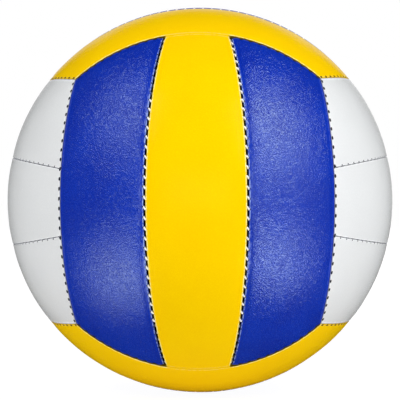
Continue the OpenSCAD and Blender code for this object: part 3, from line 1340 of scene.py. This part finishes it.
BLADDER_RUBBER = RubberFinish("bladder_rubber", colour=(38, 38, 40), bloom=(70, 68, 66), roughness=0.45)
VALVE_RUBBER = RubberFinish("valve_rubber", colour=(20, 20, 22), bloom=(52, 50, 50), roughness=0.42)
PLUG_RUBBER = RubberFinish("plug_rubber", colour=(46, 47, 50), bloom=(84, 84, 86), roughness=0.5)
PATCH_CLOTH = ClothFinish("patch_cloth", colour=(214, 212, 204), gap=(140, 138, 130))


def placed(name: str, data: bpy.types.ID) -> bpy.types.Object:
    """Adds an object with this name and data to the scene."""
    item = bpy.data.objects.new(name, data)
    bpy.context.scene.collection.objects.link(item)
    return item


def as_data(name: str, mesh: bmesh.types.BMesh) -> bpy.types.Mesh:
    """Turns a mesh into data for an object.

    Args:
        name: the data's name.
        mesh: the mesh, which is used up.

    Returns:
        The data.
    """
    data = bpy.data.meshes.new(name)
    mesh.to_mesh(data)
    mesh.free()
    return data


def to_metres(mesh: bmesh.types.BMesh) -> None:
    """Scales a mesh from millimetres to metres."""
    bmesh.ops.scale(mesh, vec=(MM, MM, MM), verts=mesh.verts[:])


def finished(name: str, mesh: bmesh.types.BMesh, material: bpy.types.Material) -> bpy.types.Object:
    """Turns a mesh in millimetres into an object in metres at the origin, with outward faces.

    Args:
        name: the object's name.
        mesh: the mesh, which is used up.
        material: its material.

    Returns:
        The object, in the scene's collection.
    """
    to_metres(mesh)
    bmesh.ops.recalc_face_normals(mesh, faces=mesh.faces[:])
    for face in mesh.faces:
        face.smooth = True
    data = as_data(name, mesh)
    data.materials.append(material)
    LOG.info("%s: %d faces", name, len(data.polygons))
    return placed(name, data)


def stands_for(piece: bpy.types.Object, node: str) -> None:
    """Hangs a piece on the ball's root and hides the CAD node that it stands for.

    Args:
        piece: the piece.
        node: the CAD node.
    """
    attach(piece, "root")
    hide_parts(node)


def spun(mesh: bmesh.types.BMesh, parts: list, angle: float, steps: int, closed: bool) -> None:
    """Spins a section about the Z axis.

    Args:
        mesh: the mesh that the section is in.
        parts: the section's points and its edges or faces.
        angle: how far it is spun, in radians.
        steps: how many steps it takes.
        closed: whether the last step meets the first.
    """
    bmesh.ops.spin(
        mesh, geom=parts, cent=(0, 0, 0), axis=(0, 0, 1), dvec=(0, 0, 0), angle=angle, steps=steps,
        use_merge=closed, use_duplicate=False,
    )


@dataclass
class CoverPanels:
    """The eighteen cover panels.

    Attributes:
        sizes: the ball's sizes.
        white_edge: the finish of the edges between two white strips, which are sewn tighter.
        hollows: the depth and the size of each kind of slight hollow in a panel's face.
        hollow_fade: how far in from an edge the hollows have their whole depth.
        fine_r: how far round the valve's hole the grid is finer.
        print_r: the radius of the ring where the patch's edge shows through, near the valve.
        print_w: half its width.
        print_depth: its depth.
        cut_gap: how far round the hole the grid is cut away before the lip is made.
        lip_start: how far outside the hole the lip begins.
        lip: its steps, as how far outside the hole and how deep.
        lip_depth: how far the lip's first step lies below the ball's own surface.
    """

    sizes: BallSizes
    white_edge: Edge = Edge(half_gap=0.1, roll=0.4, pull=0.1, dip=0.16)
    hollows: tuple[tuple[float, float], ...] = ((0.07, 16.0), (0.025, 5.5))
    hollow_fade: float = 3.0
    fine_r: float = 16.0
    print_r: float = 12.4
    print_w: float = 0.9
    print_depth: float = 0.2
    cut_gap: float = 0.6
    lip_start: float = 0.75
    lip: tuple[tuple[float, float], ...] = ((0.4, 0.1), (0.12, 0.35), (0.0, 0.8), (0.0, 2.4), (0.0, 4.0))
    lip_depth: float = 0.1

    def build(self) -> None:
        """Makes each panel in its place, with its colour's finish."""
        pitch = self.sizes.stitch_pitch
        finishes = {
            (cover, beside): leather.material(beside, pitch)
            for cover, leather in LEATHERS.items()
            for beside in (False, True)
        }
        white = {"middle_edge": self.white_edge, "beside_edge": self.white_edge}
        sheets = {
            (beside, tight): PanelShape(self.sizes, beside, **(white if tight else {})).mesh()
            for beside in (False, True)
            for tight in (False, True)
        }
        for face in FACES:
            for strip, (word, cover) in enumerate(zip(face.strips, face.covers)):
                beside = strip != 1
                sheet = sheets[beside, cover is Cover.WHITE].copy()
                if face.name == "back" and not beside:
                    self.pierce(sheet)
                bmesh.ops.transform(sheet, matrix=face.matrix(strip), verts=sheet.verts[:])
                self.soften(sheet)
                bmesh.ops.solidify(sheet, geom=sheet.faces[:], thickness=self.sizes.skin)
                node = f"{face.name}_{word}_panel"
                stands_for(finished(f"{node}_cover", sheet, finishes[cover, beside]), node)
        for sheet in sheets.values():
            sheet.free()

    def soften(self, sheet: bmesh.types.BMesh) -> None:
        """Presses slight hollows into a panel's outer face, away from its edges.

        Args:
            sheet: the panel, in its place on the ball.
        """
        layers = [sheet.verts.layers.float_vector[kind] for kind in EDGE_KINDS]
        for vert in sheet.verts:
            inside = min(vert[layer][0] for layer in layers)
            fade = min(1.0, max(0.0, inside / self.hollow_fade))
            hollow = sum(depth * (1 + noise.noise(vert.co / size)) for depth, size in self.hollows)
            vert.co *= 1 - hollow * fade / self.sizes.radius

    def pierce(self, sheet: bmesh.types.BMesh) -> None:
        """Makes the valve's hole in the middle of a panel, with a rolled lip and a ring round it.

        Args:
            sheet: the panel, on the top face.
        """
        radius = self.sizes.radius
        hole = self.sizes.valve_hole_r
        near = [face for face in sheet.faces if from_axis(face.calc_center_median()) < self.fine_r]
        edges = list({edge for face in near for edge in face.edges})
        bmesh.ops.subdivide_edges(sheet, edges=edges, cuts=1, use_grid_fill=True)
        for vert in sheet.verts:
            ring = bell(from_axis(vert.co) - self.print_r, self.print_w)
            vert.co *= 1 - self.print_depth * ring / radius
        cut_r = hole + self.cut_gap
        inside = [face for face in sheet.faces if from_axis(face.calc_center_median()) < cut_r]
        bmesh.ops.delete(sheet, geom=inside, context="FACES")
        lip = [
            edge for edge in sheet.edges if edge.is_boundary and from_axis(edge.verts[0].co) < self.fine_r
        ]
        for vert in {vert for edge in lip for vert in edge.verts}:
            vert.co = at_radius(vert.co, hole + self.lip_start, vert.co.z)
        rise = math.sqrt(radius**2 - hole**2)
        for beyond, deep in self.lip:
            grown = bmesh.ops.extrude_edge_only(sheet, edges=lip)["geom"]
            for vert in only(bmesh.types.BMVert, grown):
                vert.co = at_radius(vert.co, hole + beyond, rise - self.lip_depth - deep)
            lip = only(bmesh.types.BMEdge, grown)


@dataclass
class BackingPads:
    """The foam pad under each cover panel.

    Attributes:
        sizes: the ball's sizes.
        top: how deep a pad's outer face lies in its middle.
        thickness: how thick it is.
        spacing: the spacing of its grid.
        side_gap: how far it stays inside its CAD solid at the sides.
        roll: the radius of its edges.
        crown: how much deeper its face lies at the edges, and crown_w how wide that fall is.
        cut_gap: how far round the patch's room the grid is cut away before the hole's wall is made.
        near: how far beyond the patch's room the hole's own points are looked for.
    """

    sizes: BallSizes
    top: float = 1.75
    thickness: float = 2.2
    spacing: float = 3.2
    side_gap: float = 0.1
    roll: float = 1.0
    crown: float = 0.35
    crown_w: float = 2.5
    cut_gap: float = 1.2
    near: float = 6.0

    def build(self) -> None:
        finish = FoamFinish().material()
        edge = Edge(half_gap=self.sizes.pad_inset + self.side_gap, roll=self.roll, pull=0.0, dip=0.0)
        edges = {"middle_edge": edge, "beside_edge": edge, "shut_edge": edge}
        shapes = {
            beside: PanelShape(self.sizes, beside, **edges, spacing=self.spacing)
            for beside in (False, True)
        }
        for face in FACES:
            for strip, word in enumerate(face.strips):
                pad = self.pad(shapes[strip != 1], face.name == "back" and strip == 1)
                bmesh.ops.transform(pad, matrix=face.matrix(strip), verts=pad.verts[:])
                node = f"{face.name}_{word}_backing"
                piece = finished(f"{node}_pad", pad, finish)
                stands_for(piece, node)

    def pad(self, shape: PanelShape, holed: bool) -> bmesh.types.BMesh:
        """One pad on the top face, crowned and with softened edges.

        Args:
            shape: the grid of the panel that it backs.
            holed: whether the valve's neck and patch go through it.

        Returns:
            The closed mesh.
        """
        pad = bmesh.new()
        for vert, row, column in shape.grid(pad):
            outer = shape.place(row, column)
            edge_gap = min(side.gap(outer) for side in shape.sides.values())
            vert.co = shape.place(row, column, self.top + self.crown * bell(edge_gap, self.crown_w))
        if holed:
            self.pierce(pad)
        bmesh.ops.solidify(pad, geom=pad.faces[:], thickness=self.thickness)
        return pad

    def pierce(self, pad: bmesh.types.BMesh) -> None:
        """Makes room in a pad, while it is still a sheet, for the valve's patch.

        Args:
            pad: the sheet, on the top face.
        """
        room = self.sizes.patch_room_r
        cut_r = room + self.cut_gap
        inside = [face for face in pad.faces if from_axis(face.calc_center_median()) < cut_r]
        bmesh.ops.delete(pad, geom=inside, context="FACES")
        for vert in pad.verts:
            if vert.is_boundary and from_axis(vert.co) < room + self.near:
                vert.co = at_radius(vert.co, room, vert.co.z)


@dataclass
class SeamThreads:
    """The sewing of each face: two hidden runs along a seam, joined by its stitches.

    Attributes:
        sizes: the ball's sizes.
        sides: how many sides the thread has round it.
        stitch_d: the diameter of the thread of a stitch.
        foot: how far along the seam, either way, a stitch's two ends lie from its middle.
        over: its way over the seam between them, as points across it, along it and below the surface.
        white_sunk: how far the stitches between white strips are sunk, as a share.
        outer_sunk: how far those between two faces are.
        first_shown: the angles between which one inner seam's stitches show, in radians.
        last_shown: the same for the other inner seam.
        run_steps: how many steps a run has.
        wander: how much a stitch's depth and place vary.
        slant: how much its slant varies, as a share.
        wander_scale: how quickly these vary from stitch to stitch.
    """

    sizes: BallSizes
    sides: int = 6
    stitch_d: float = 0.92
    foot: float = 0.7
    over: tuple[tuple[float, float, float], ...] = (
        (-0.85, -0.7, 1.8), (-0.45, -0.6, 1.15), (-0.22, -0.4, 0.78), (0.03, -0.05, 0.62),
        (0.26, 0.32, 0.68), (0.48, 0.6, 1.0), (0.8, 0.7, 1.6),
    )
    white_sunk: float = 0.45
    outer_sunk: float = 0.85
    first_shown: tuple[float, float] = (-1.0, 0.6)
    last_shown: tuple[float, float] = (-0.6, 0.48)
    run_steps: int = 60
    wander: float = 0.15
    slant: float = 0.3
    wander_scale: float = 40.0

    def build(self) -> None:
        """Makes the thread of each face."""
        finish = ThreadFinish().material()
        sewings = {white: self.face_sewing(self.white_sunk if white else 0.0) for white in (False, True)}
        for face in FACES:
            thread = sewings[Cover.WHITE in face.covers].copy()
            bmesh.ops.transform(thread, matrix=face.matrix(), verts=thread.verts[:])
            node = f"{face.name}_seam_thread"
            stands_for(finished(f"{node}_sewing", thread, finish), node)
        for sewing in sewings.values():
            sewing.free()

    def face_sewing(self, sunk: float) -> bmesh.types.BMesh:
        """All the sewing of the top face.

        Args:
            sunk: how far the stitches between its strips are sunk, as a share.

        Returns:
            The mesh.
        """
        inner = self.sizes.inner_seam
        outer = self.sizes.outer_seam
        all_round = (-math.pi, math.pi)
        sewing = bmesh.new()
        for seam, share, turn, shown in (
            (inner, sunk, 0, self.first_shown),
            (inner, sunk, 180, self.last_shown),
            (outer, self.outer_sunk, 0, all_round),
            (outer, self.outer_sunk, 180, all_round),
        ):
            part = self.seam_sewing(seam, share, shown)
            bmesh.ops.transform(part, matrix=turned(0, 0, turn) @ seam.frame(), verts=part.verts[:])
            data = as_data("sewing", part)
            sewing.from_mesh(data)
            bpy.data.meshes.remove(data)
        return sewing

    def seam_sewing(self, seam: Seam, sunk: float, shown: tuple[float, float]) -> bmesh.types.BMesh:
        """One seam's sewing in the seam's own frame.

        Args:
            seam: the seam.
            sunk: how far its stitches are sunk towards the runs, as a share.
            shown: the angles along the seam, beyond which its stitches are drawn in out of sight.

        Returns:
            The mesh.
        """
        part = bmesh.new()
        angles = self.sizes.stitch_angles(seam)
        radius = self.sizes.radius
        deepest = self.sizes.stitch_depth
        ring = seam.ring(radius - deepest)
        half = -angles[0] + self.sizes.thread_d / ring
        off = self.sizes.thread_off
        path = ((-off, -self.foot, deepest), *self.over, (off, self.foot, deepest))
        for side in (-1, 1):
            self.run(part, ring, seam.reach + side * off, half)
        for angle in angles:
            points = []
            loose = noise.noise(Vector((angle * self.wander_scale, seam.tilt, sunk)))
            share = sunk if shown[0] < angle < shown[1] else 1.0
            for across, along, deep in path:
                out = seam.ring(radius - mixed(deep + self.wander * loose, deepest, share), across)
                turn = angle + (along * (1 + self.slant * loose) + self.wander * loose) / out
                points.append(Vector((out * math.cos(turn), out * math.sin(turn), seam.reach + across)))
            self.tube(part, points, self.stitch_d / 2)
        return part

    def run(self, part: bmesh.types.BMesh, ring: float, height: float, half: float) -> None:
        """Adds a run of thread along a seam, by spinning its round section about the seam's axis.

        Args:
            part: the mesh that it is added to.
            ring: the run's radius.
            height: its place along the axis.
            half: half the angle that it spans, in radians.
        """
        start = Matrix.Translation((ring, 0, height)) @ Matrix.Rotation(math.pi / 2, 4, "X")
        made = bmesh.ops.create_circle(
            part, cap_ends=True, segments=self.sides, radius=self.sizes.thread_d / 2,
            matrix=Matrix.Rotation(-half, 4, "Z") @ start,
        )
        faces = list({face for vert in made["verts"] for face in vert.link_faces})
        spun(part, made["verts"] + faces, 2 * half, self.run_steps, closed=False)

    def tube(self, part: bmesh.types.BMesh, points: list[Vector], radius: float) -> None:
        """Adds a closed tube along a path.

        Args:
            part: the mesh that it is added to.
            points: the path.
            radius: the tube's radius.
        """
        rings = []
        for i, point in enumerate(points):
            ahead = points[min(i + 1, len(points) - 1)] - points[max(i - 1, 0)]
            out = Vector((point.x, point.y, 0)).normalized()
            first = ahead.cross(out).normalized()
            second = ahead.cross(first).normalized()
            turn = Matrix((first, second, ahead.normalized())).transposed().to_4x4()
            made = bmesh.ops.create_circle(
                part, cap_ends=i in (0, len(points) - 1), segments=self.sides, radius=radius,
                matrix=Matrix.Translation(point) @ turn,
            )
            rings.append(made["verts"])
        loops = [
            list({edge for vert in ring for edge in vert.link_edges
                  if all(other in ring for other in edge.verts)})
            for ring in rings
        ]
        for first, second in zip(loops, loops[1:]):
            bmesh.ops.bridge_loops(part, edges=first + second)


@dataclass
class AirBladder:
    """The rubber bladder, with moulded gore lines that run from the valve to the far pole.

    Attributes:
        sizes: the ball's sizes.
        gores: how many gores it has.
        round_steps: its steps round the valve's axis.
        pole_steps: its steps from pole to pole.
        play: how far it stays inside its CAD solid.
        line_depth: how deep a gore's line is.
        line_share: half its width, as a share of a gore's.
        thinner: how much thinner its wall is than its CAD solid's.
    """

    sizes: BallSizes
    gores: int = 6
    round_steps: int = 96
    pole_steps: int = 60
    play: float = 0.02
    line_depth: float = 0.1
    line_share: float = 1.6 / 60
    thinner: float = 0.1

    def build(self) -> None:
        """Makes the bladder as a closed wall round the valve's hole."""
        skin = bmesh.new()
        radius = self.sizes.inner - self.sizes.layer_gap
        bmesh.ops.create_uvsphere(
            skin, u_segments=self.round_steps, v_segments=self.pole_steps, radius=radius
        )
        middles = {face: face.calc_center_median() for face in skin.faces}
        hole = self.sizes.valve_hole_r
        cap = [face for face, middle in middles.items() if middle.z > 0 and from_axis(middle) < hole]
        bmesh.ops.delete(skin, geom=cap, context="FACES")
        for vert in skin.verts:
            turn = math.atan2(vert.co.y, vert.co.x) * self.gores / math.tau
            line = bell(turn - round(turn), self.line_share)
            vert.co *= 1 - (self.play + self.line_depth * line) / radius
        loose = [vert for vert in skin.verts if not vert.link_faces]
        bmesh.ops.delete(skin, geom=loose, context="VERTS")
        bmesh.ops.transform(skin, matrix=turned(*VALVE_TURN), verts=skin.verts[:])
        bmesh.ops.solidify(skin, geom=skin.faces[:], thickness=self.sizes.bladder_wall - self.thinner)
        wall = finished("bladder_wall", skin, BLADDER_RUBBER.material())
        stands_for(wall, "bladder")


@dataclass
class NeedleValve:
    """The valve's housing, plug and cloth patch.

    Attributes:
        sizes: the ball's sizes.
        patch_steps: the radii of the patch's rings, from its hole to its rim.
        patch_t: its thickness.
        play: how far it stays off the bladder's side of its CAD solid.
        round_steps: its steps round the valve.
    """

    sizes: BallSizes
    patch_steps: tuple[float, ...] = (4.85, 6.5, 8.5, 10.5, 12.95)
    patch_t: float = 0.42
    play: float = 0.03
    round_steps: int = 64

    def build(self) -> None:
        """Dresses the housing and the plug, and makes the patch."""
        for node, rubber in (("valve_housing", VALVE_RUBBER), ("valve_plug", PLUG_RUBBER)):
            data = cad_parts[node].data
            data.materials.clear()
            data.materials.append(rubber.material())
            LOG.info("%s: dressed", node)
        self.patch()

    def patch(self) -> None:
        """Makes the cloth ring that stiffens the cover round the valve's hole."""
        ring = bmesh.new()
        low = self.sizes.inner + self.play
        high = low + self.patch_t
        under = [(away, math.sqrt(low**2 - away**2)) for away in self.patch_steps]
        over = [(away, math.sqrt(high**2 - away**2)) for away in reversed(self.patch_steps)]
        verts = [ring.verts.new((away, 0, up)) for away, up in under + over]
        edges = [ring.edges.new(ends) for ends in zip(verts, verts[1:] + verts[:1])]
        spun(ring, verts + edges, math.tau, self.round_steps, closed=True)
        bmesh.ops.transform(ring, matrix=turned(*VALVE_TURN), verts=ring.verts[:])
        cloth = finished("valve_patch_cloth", ring, PATCH_CLOTH.material())
        stands_for(cloth, "valve_patch")


@dataclass(frozen=True)
class Lamp:
    """A soft lamp that faces the ball.

    Attributes:
        name: its name.
        side: its angle round the ball from the front, to the right, in degrees.
        up: its angle above the level, in degrees.
        away: its distance from the ball's centre, in metres.
        width: its width, in metres.
        height: its height, in metres.
        power: its power, in watts.
        mirrored: whether a gloss mirrors it.
    """

    name: str
    side: float
    up: float
    away: float
    width: float
    height: float
    power: float
    mirrored: bool = True

    def add(self) -> None:
        """Adds the lamp to the scene."""
        data = bpy.data.lights.new(self.name, "AREA")
        data.shape = "RECTANGLE"
        data.size = self.width
        data.size_y = self.height
        data.energy = self.power
        place = heading(self.side, self.up) * self.away
        lamp = placed(self.name, data)
        lamp.visible_glossy = self.mirrored
        turn = (-place).to_track_quat("-Z", "Y").to_matrix()
        lamp.matrix_world = Matrix.Translation(place) @ turn.to_4x4()


LAMPS = (
    Lamp("left_softbox", side=-46, up=45, away=1.35, width=0.5, height=0.6, power=4.3),
    Lamp("right_softbox", side=46, up=37, away=1.35, width=0.7, height=0.78, power=9.4),
    Lamp("right_strip", side=48, up=2, away=1.35, width=0.9, height=0.5, power=0.75),
    Lamp("front_softbox", side=0, up=-5, away=2.2, width=1.6, height=1.6, power=18.5),
    Lamp("left_fill", side=-100, up=10, away=1.8, width=2.4, height=2.0, power=12.0, mirrored=False),
    Lamp("right_fill", side=100, up=10, away=1.8, width=2.4, height=2.0, power=1.5, mirrored=False),
    Lamp("back_softbox", side=180, up=12, away=2.0, width=1.6, height=1.6, power=5.0),
)


@dataclass(frozen=True)
class Card:
    """A round pale card on the floor, with a soft rim, which shows only in the ball's gloss.

    Attributes:
        x: its place to the right of the ball.
        y: its place behind the ball.
        level: how bright it is, 1 being white.
        radius: its radius.
        core: the share of the radius inside which it has its whole brightness.
    """

    x: float
    y: float
    level: float
    radius: float = 104.0
    core: float = 0.3

    def mask(self, x: Value, y: Value) -> Value:
        """How bright the card makes each place on the floor."""
        away = ((x - self.x) ** 2.0 + (y - self.y) ** 2.0).root()
        return away.smooth(self.radius, self.radius * self.core) * self.level


CARDS = (Card(-118.0, -172.0, level=3.7), Card(146.0, -202.0, level=6.8))


@dataclass
class Studio:
    """The camera, the lamps, the white floor and the white surround.

    Attributes:
        sizes: the ball's sizes.
        picture: the width of the picture, in pixels.
        ball_pixels: the radius of the ball's outline in it.
        distance_share: the camera's distance from the ball's centre, in radii of the ball.
        azimuth: its angle round the ball from the front, to the right, in degrees.
        elevation: its angle above the level, in degrees.
        lean: how far it is rolled, in degrees.
        sensor: the width of its sensor, in millimetres.
        nearest: how near it sees, in metres, and farthest how far.
        surround: how strongly the surround lights the ball.
        gloss_surround: how strongly a gloss mirrors it.
        floor_size: half the width of the floor.
        floor_gap: how far it lies below the ball.
        floor_tone: its tone in plain light.
        floor_glow: how bright it looks to the camera where the ball doesn't shade it.
        glow_share: what share of what the camera sees is that glow; the rest keeps the shadow.
        light_share: what share of it lights the ball from below, as a light table does.
    """

    sizes: BallSizes
    picture: int = 400
    ball_pixels: float = 192.6
    distance_share: float = 5.2
    azimuth: float = 0.96
    elevation: float = 0.75
    lean: float = 0.17
    sensor: float = 36.0
    nearest: float = 0.01
    farthest: float = 20.0
    surround: float = 0.24
    gloss_surround: float = 0.008
    floor_size: float = 6000.0
    floor_gap: float = 0.02
    floor_tone: float = 0.92
    floor_glow: float = 1.12
    glow_share: float = 0.86
    light_share: float = 0.25

    def build(self) -> None:
        """Sets up everything that isn't the ball."""
        bpy.context.scene.view_settings.view_transform = "Standard"
        self.camera()
        self.world()
        self.floor()
        for lamp in LAMPS:
            lamp.add()
        LOG.info("studio: %d lamps", len(LAMPS))

    def camera(self) -> None:
        """The photograph's camera: the ball's outline and its seams fix its place and its lens."""
        data = bpy.data.cameras.new("camera")
        data.sensor_width = self.sensor
        outline = self.ball_pixels * math.sqrt(self.distance_share**2 - 1)
        data.lens = data.sensor_width / self.picture * outline
        data.clip_start = self.nearest
        data.clip_end = self.farthest
        back = heading(self.azimuth, self.elevation)
        upright = Vector((math.tan(math.radians(self.lean)), 0, 1))
        right = upright.cross(back).normalized()
        turn = Matrix((right, back.cross(right), back)).transposed()
        distance = self.distance_share * self.sizes.radius * MM
        camera = placed("camera", data)
        camera.matrix_world = Matrix.Translation(back * distance) @ turn.to_4x4()
        bpy.context.scene.camera = camera

    def seen(self, graph: Graph, gloss: float) -> Value:
        """How strongly the white surround itself is seen, from 0 in plain light to 1 by the camera.

        Args:
            graph: the material that it is for.
            gloss: how strongly a gloss mirrors the surround.

        Returns:
            The share.
        """
        path = graph.node("ShaderNodeLightPath")
        direct, mirrored, through = (
            Value(graph, path.outputs[name])
            for name in ("Is Camera Ray", "Is Glossy Ray", "Is Transmission Ray")
        )
        return direct.most(through).most(mirrored * gloss)

    def world(self) -> None:
        """A white surround that lights the ball at a plain level."""
        world = bpy.data.worlds.new("surround")
        world.cycles.sampling_method = "NONE"
        bpy.context.scene.world = world
        graph = Graph(world)
        path = graph.node("ShaderNodeLightPath")
        plain = Value(graph, path.outputs["Is Diffuse Ray"]) * self.surround
        strength = self.seen(graph, self.gloss_surround).most(plain)
        light = graph.node("ShaderNodeBackground", inputs={"Color": (1, 1, 1, 1), "Strength": strength})
        graph.node("ShaderNodeOutputWorld", inputs={0: light.outputs[0]})

    def floor(self) -> None:
        """A white floor that the ball stands on, with its shadow, and the cards that lie on it."""
        sheet = bmesh.new()
        bmesh.ops.create_grid(sheet, x_segments=1, y_segments=1, size=self.floor_size)
        down = (0, 0, -self.sizes.radius - self.floor_gap)
        bmesh.ops.translate(sheet, vec=down, verts=sheet.verts[:])
        to_metres(sheet)
        data = as_data("floor", sheet)
        data.materials.append(self.floor_finish())
        floor = placed("floor", data)
        floor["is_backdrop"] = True

    def floor_finish(self) -> bpy.types.Material:
        """The floor's finish, which the ball's gloss sees as dark but for the cards.

        Returns:
            The material.
        """
        material = bpy.data.materials.new("floor")
        material.cycles.emission_sampling = "NONE"
        graph = Graph(material)
        tone = (self.floor_tone, self.floor_tone, self.floor_tone, 1)
        matt = graph.node("ShaderNodeBsdfDiffuse", inputs={"Color": tone})
        glow = self.glow(graph, self.floor_glow)
        share = (self.seen(graph, 0.0) * self.glow_share).most(self.light_share)
        white = graph.node("ShaderNodeMixShader", inputs={0: share, 1: matt.outputs[0], 2: glow})
        x, y, _ = graph.parts(graph.places())
        mirrored = self.glow(graph, sum((card.mask(x, y) for card in CARDS), self.gloss_surround))
        path = graph.node("ShaderNodeLightPath")
        both = {0: path.outputs["Is Glossy Ray"], 1: white.outputs[0], 2: mirrored}
        mix = graph.node("ShaderNodeMixShader", inputs=both)
        graph.node("ShaderNodeOutputMaterial", inputs={0: mix.outputs[0]})
        return material

    def glow(self, graph: Graph, strength: Value | float) -> bpy.types.NodeSocket:
        """White light of this strength, as a shader."""
        glow = graph.node("ShaderNodeEmission", inputs={"Color": (1, 1, 1, 1), "Strength": strength})
        return glow.outputs[0]


def main() -> None:
    """Builds the ball and its studio."""
    sizes = BallSizes()
    Studio(sizes).build()
    steps: tuple[tuple[str, Callable[[], None]], ...] = (
        ("cover panels", CoverPanels(sizes).build),
        ("backing pads", BackingPads(sizes).build),
        ("seam threads", SeamThreads(sizes).build),
        ("air bladder", AirBladder(sizes).build),
        ("needle valve", NeedleValve(sizes).build),
    )
    for name, build in steps:
        build()
        LOG.info("%s: done", name)
    boxes = [[list(corner) for corner in box] for box in (CAD_BOX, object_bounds())]


if __name__ == "__main__":
    main()
